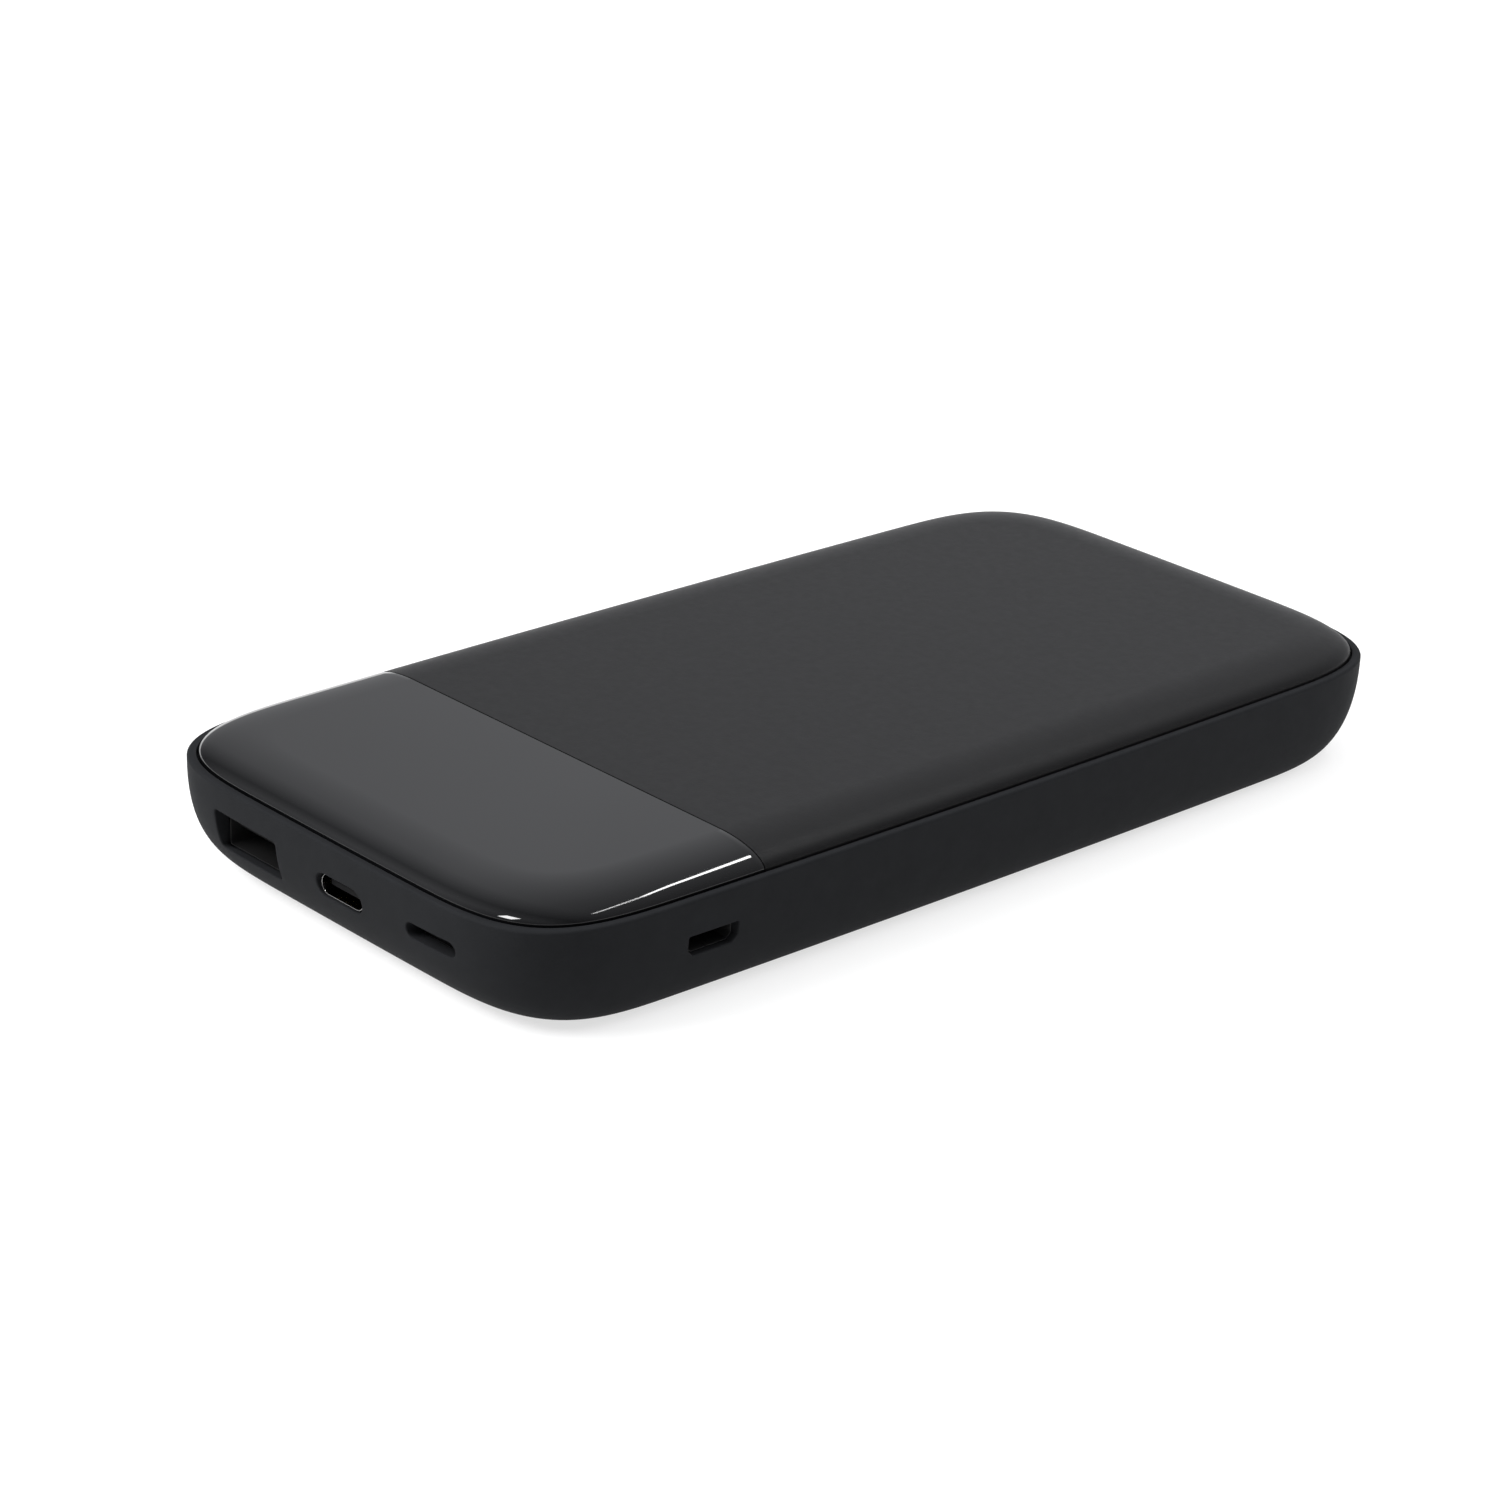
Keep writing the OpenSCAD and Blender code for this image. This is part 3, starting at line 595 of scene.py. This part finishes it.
micro_shell = socket_shell("micro_usb_shell", "right", MICRO_AT, *micro_core(*MICRO_SHELL),
                           flare=0.15 * MM, flare_l=1.6 * MM)
micro_legs = [block("leg", micro_front - d, MICRO_AT[0] + side * 3.6 * MM, board_high.z, 1 * MM, SHEET_T,
                    MICRO_AT[1] - board_high.z) for side in (-1, 1) for d in (4.7 * MM, 6.1 * MM)]
boolean(micro_shell, micro_legs, "UNION")
split = block("split", micro_front, MICRO_AT[0] - 0.4 * MM, MICRO_AT[1] - 1.6 * MM,
              4 * MM, 0.12 * MM, 1 * MM)
boolean(micro_shell, [split], "DIFFERENCE")
for made, node in ((usb_a_shell, "usb_a_shell"), (usb_c_shell, "usb_c_shell"),
                   (slim_shell, "slim_socket_shell"), (micro_shell, "micro_usb_shell")):
    dress(made, node)

# ---------- Power button ----------

BUTTON_EDGE = 0.3 * MM
FLANGE_T = 0.8 * MM
NIB_R = 0.8 * MM
NIB_L = 1.4 * MM
FLANGE_GROW = (2 * MM, 1.2 * MM)

button_rear = button_box[1].x
flange_x = button_rear - NIB_L - FLANGE_T
proud = side_x(BUTTON_AT[0], BUTTON_AT[1]) + button_box[0].x
core, core_r = pill_core(BUTTON_L, BUTTON_H)
face_profile = [(r, 0.0) for r in np.linspace(BUTTON_EDGE, core_r - BUTTON_EDGE, 5)] + [
    (core_r - BUTTON_EDGE * (1 - math.sin(a)), BUTTON_EDGE * (1 - math.cos(a)))
    for a in np.linspace(0, math.pi / 2, 7)[1:]]
rings = []
for r, sunk in face_profile:
    p = rounded(core, r)
    rings.append(on_face("left", BUTTON_AT[0] + p[:, 0], BUTTON_AT[1] + p[:, 1], proud + sunk))
button = skin("button", rings + [section("left", *BUTTON_AT, rounded(core, core_r), flange_x + SINK)])
flange_core = pill_core(BUTTON_L + FLANGE_GROW[0], BUTTON_H + FLANGE_GROW[1])
flange = prism("flange", "left", *BUTTON_AT, *flange_core, flange_x, flange_x + FLANGE_T)
nib_z = middle(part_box("switch_plunger")).z
# The nib is a hair wider than high, because a pill needs two separate ends.
nib = prism("nib", "left", BUTTON_AT[0], nib_z, *pill_core(2.001 * NIB_R, 2 * NIB_R),
            flange_x + FLANGE_T - SINK, button_rear)
boolean(button, [flange], "UNION")
boolean(button, [nib], "UNION")
dress(button, "power_button")

# ---------- Cover and panel ----------

front = panel_y + PANEL_GAP
inner_side = SKIRT_INSET + SKIRT_T
inner_w = EDGE_W + cover_inset - inner_side + 0.5 * MM
inside = [ring(seat_z + (ceiling_z - seat_z) * math.sin(a), inner_side + inner_w * (1 - math.cos(a)))
          for a in np.linspace(math.pi / 2, 0, EDGE_STEPS + 1)]
skirt = [ring(SKIRT_Z, inner_side), ring(SKIRT_Z, SKIRT_INSET), ring(seat_z, SKIRT_INSET)]
cover = skin("cover", inside + skirt + edge_rings())
boolean(cover, [plate("shelf", inner_side - 0.4 * MM, panel_y + 5 * MM, deck_z - DECK_T, DECK_T)], "UNION")
above_shelf = block("above_shelf", 0, front - half_l, deck_z, 3 * half_w, 2 * half_l, half_l)
boolean(cover, [above_shelf], "DIFFERENCE")
for inset, step_z in ((PANEL_LIP + 0.1 * MM, seat_z - 0.1 * MM),
                      (PANEL_LIP + 2.4 * MM, seat_z + 0.9 * MM)):
    room = skin("room", [ring(step_z, cover_inset + inset), ring(step_z, -WALL),
                         ring(2 * top_z, -WALL), ring(2 * top_z, cover_inset + inset)], hoop=True)
    boolean(room, [block("rear", 0, front + half_l, 0, 3 * half_w, 2 * half_l, half_l)], "DIFFERENCE")
    boolean(cover, [room], "DIFFERENCE")
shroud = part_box("display_shroud")
window = block("window", middle(shroud).x, middle(shroud).y, deck_z - 3 * MM, 19 * MM, 7 * MM, 4 * MM)
boolean(cover, [window], "DIFFERENCE")
# The hooks are a little shorter than their tabs, so that the two share no face.
TAB_INSET = 3.65 * MM
HOOK_INSET = 3.05 * MM
TAB_T = 1.1 * MM
tabs = [block("tab", side * (half_w - TAB_INSET), y, 9.5 * MM, TAB_T, 8 * MM, SKIRT_Z - 9 * MM)
        for side in (-1, 1) for y in SNAP_PLACES]
hooks = [block("hook", side * (half_w - HOOK_INSET), y, 9.55 * MM, TAB_T, 7.9 * MM, 0.65 * MM)
         for side in (-1, 1) for y in SNAP_PLACES]
boolean(cover, tabs, "UNION")
boolean(cover, hooks, "UNION")


def near(value, target, tolerance=0.01 * MM):
    return abs(value - target) < tolerance


def over_surface(p, margin=0.05 * MM):
    """Whether a point is on the outer skin of the cover or the panel, away from the corners."""
    inset = half_w * (1 - SIDE_BOW / half_w * (p.y / half_l) ** 2) - abs(p.x) - cover_inset
    share = min(max(1 - inset / EDGE_W, 0), 1)
    return p.z > seam_z + edge_h * math.sqrt(1 - share ** 2) - margin


soften(cover, lambda p: near(p.y, front) and over_surface(p), BOUNDARY_R)
dress(cover, "top_cover")

panel_inset = cover_inset + PANEL_LIP
panel_underside = [ring(deck_z + TAPE_T, panel_inset + 2.6 * MM),
                   ring(seat_z + 1 * MM, panel_inset), ring(seat_z, panel_inset)]
panel = skin("panel", panel_underside + edge_rings())
boolean(panel, [block("rear", 0, panel_y + half_l, 0, 3 * half_w, 2 * half_l, half_l)], "DIFFERENCE")
soften(panel, lambda p: near(p.y, panel_y) and over_surface(p), BOUNDARY_R)
dress(panel, "gloss_panel")

# ---------- CAD nodes that stay ----------

remodelled = {"lower_housing", "top_cover", "gloss_panel", "usb_a_shell", "usb_c_shell",
              "slim_socket_shell", "micro_usb_shell", "power_button"}
for name, obj in frame["nodes"].items():
    if name in remodelled:
        continue
    obj.data.materials.clear()
    obj.data.materials.append(MATERIALS[SLOT_OF[name]])
    bevel = obj.modifiers.new("soft_edges", "BEVEL")
    bevel.width = 0.05 * MM
    bevel.segments = 2
    bevel.angle_limit = math.radians(40)

# ---------- Floor, camera and light ----------

AZIMUTH = math.radians(46.9)
ELEVATION = math.radians(22.85)
ROLL = math.radians(2.31)
DISTANCE = 0.55333
LENS = 98.22
SENSOR_WIDTH = 36
SLIDE = (6.41 * MM, 1.63 * MM)

centre = (cad_low + cad_high) / 2
back = Vector((math.sin(AZIMUTH) * math.cos(ELEVATION),
               -math.cos(AZIMUTH) * math.cos(ELEVATION),
               math.sin(ELEVATION)))
right = Vector((math.cos(AZIMUTH), math.sin(AZIMUTH), 0))
up = back.cross(right)
right, up = (math.cos(ROLL) * right + math.sin(ROLL) * up, math.cos(ROLL) * up - math.sin(ROLL) * right)
camera = bpy.data.objects.new("camera", bpy.data.cameras.new("camera"))
bpy.context.scene.collection.objects.link(camera)
camera.data.lens = LENS
camera.data.sensor_width = SENSOR_WIDTH
camera.data.clip_start = 0.01
eye = centre + DISTANCE * back - SLIDE[0] * right - SLIDE[1] * up
camera.matrix_world = Matrix.Translation(eye) @ Matrix((right, up, back)).transposed().to_4x4()
bpy.context.scene.camera = camera


FLOOR_GREY = 0.33
FLOOR_GLOW = 0.68


def floor_material():
    """Pale floor that gives off part of its own light, so that it comes out white."""
    made = bpy.data.materials.new("pale_floor")
    made.use_nodes = True
    shader = made.node_tree.nodes["Principled BSDF"]
    shader.inputs["Base Color"].default_value = (FLOOR_GREY, FLOOR_GREY, FLOOR_GREY, 1)
    shader.inputs["Roughness"].default_value = 0.9
    shader.inputs["Specular IOR Level"].default_value = 0.1
    shader.inputs["Emission Color"].default_value = (1, 1, 1, 1)
    shader.inputs["Emission Strength"].default_value = FLOOR_GLOW
    return made


FLOOR_DROP = 0.02 * MM
FLOOR_T = 10 * MM
FLOOR_SPAN = 8
floor = block("floor", 0, 0, -FLOOR_DROP - FLOOR_T, FLOOR_SPAN, FLOOR_SPAN, FLOOR_T)
floor.data.materials.append(floor_material())


def softbox(name, place, target, width, height, radiance, turn=0.0):
    """Area light of an even brightness, turned to its target and by an angle about its own axis."""
    lamp = bpy.data.lights.new(name, "AREA")
    lamp.shape = "RECTANGLE"
    lamp.size = width
    lamp.size_y = height
    lamp.energy = radiance * math.pi * width * height
    obj = bpy.data.objects.new(name, lamp)
    aim = (Vector(target) - Vector(place)).to_track_quat("-Z", "Y").to_matrix().to_4x4()
    obj.matrix_world = Matrix.Translation(place) @ aim @ Matrix.Rotation(math.radians(turn), 4, "Z")
    obj.visible_camera = False
    bpy.context.scene.collection.objects.link(obj)
    return obj


def strip_light(name, start, end, height, width, radiance, pieces=1, filled=1.0):
    """Straight tube light hung level over the scene, in one piece or as a row of short lit pieces."""
    start, end = Vector((*start, height)), Vector((*end, height))
    run = end - start
    for i in range(pieces):
        place = start + run * (i + 0.5) / pieces
        softbox(f"{name}_{i}", place, place - Vector((0, 0, 1)), run.length * filled / pieces, width,
                radiance, turn=math.degrees(math.atan2(run.y, run.x)))


# A bent ceiling tube behind the bank and to its right. After the bend it is a row of short lit pieces.
TUBE_HEIGHT = 1.0
TUBE_REAR = (-0.2, 0.77)
TUBE_BEND = (0.1, 0.6)
TUBE_FRONT = (0.43, 0.25)
TUBE_WIDTH = 0.035
TUBE_ROW_WIDTH = 0.055
TUBE_RADIANCE = 24
strip_light("tube", TUBE_REAR, TUBE_BEND, TUBE_HEIGHT, TUBE_WIDTH, TUBE_RADIANCE)
strip_light("tube_row", TUBE_BEND, TUBE_FRONT, TUBE_HEIGHT, TUBE_ROW_WIDTH, TUBE_RADIANCE,
            pieces=16, filled=0.45)

# Each lamp: where it hangs, what it points at, its width and height, and its radiance.
CORNER_GLINT = ((0, -0.8, 0.75), (0.03, -0.07, 0.015), 0.25, 0.4, 22)
FILL = ((0, 0, 1.8), (0, 0, 0), 2.6, 2.6, 1.75)
REAR = ((0.15, 0.24, 0.14), (0.02, 0.07, 0.015), 0.12, 0.12, 7)
FRONT = ((-0.7, -1.0, 1.0), (0, 0, 0.01), 1.0, 0.6, 18)
# The glint shows only as a reflection. The other three light the surfaces without being reflected.
glint = softbox("corner_glint", *CORNER_GLINT)
glint.visible_diffuse = False
for name, lamp in (("fill", FILL), ("rear", REAR), ("front", FRONT)):
    softbox(name, *lamp).visible_glossy = False

# Light level of the plain studio, by how far a direction points sideways and lengthways.
# Across, from left to right: a dim edge, the bright left wall, the ceiling and the dimmer right side.
LEVEL_ACROSS = [(-1, 0.3), (-0.7, 0.9), (-0.3, 0.65), (0.1, 0.55), (1, 0.35)]
# Along, from front to rear: the front wall, the dim gap beside it, and the brighter rear wall.
LEVEL_ALONG = [(-1, 0.5), (-0.5, 0.75), (-0.1, 0.35), (0.3, 0.8), (0.6, 0.75), (1, 0.95)]
SKY_COLOUR = (0.955, 0.965, 1, 1)


def sky():
    """Plain studio surroundings, whose brightness is the level across times the level along."""
    world = bpy.data.worlds.new("studio")
    world.use_nodes = True
    nodes, links = world.node_tree.nodes, world.node_tree.links
    split = nodes.new("ShaderNodeSeparateXYZ")
    links.new(nodes.new("ShaderNodeTexCoord").outputs["Generated"], split.inputs["Vector"])
    product = nodes.new("ShaderNodeMath")
    product.operation = "MULTIPLY"
    for k, (axis, stops) in enumerate((("X", LEVEL_ACROSS), ("Y", LEVEL_ALONG))):
        curve = nodes.new("ShaderNodeValToRGB")
        while len(curve.color_ramp.elements) < len(stops):
            curve.color_ramp.elements.new(0.5)
        for element, (place, value) in zip(curve.color_ramp.elements, stops):
            element.position = (place + 1) / 2
            element.color = (value, value, value, 1)
        links.new(mapped(nodes, links, split.outputs[axis], 0, 1, -1, 1), curve.inputs["Fac"])
        links.new(curve.outputs["Color"], product.inputs[k])
    links.new(product.outputs["Value"], nodes["Background"].inputs["Strength"])
    nodes["Background"].inputs["Color"].default_value = SKY_COLOUR
    bpy.context.scene.world = world


sky()
bpy.context.scene.view_settings.view_transform = "Standard"
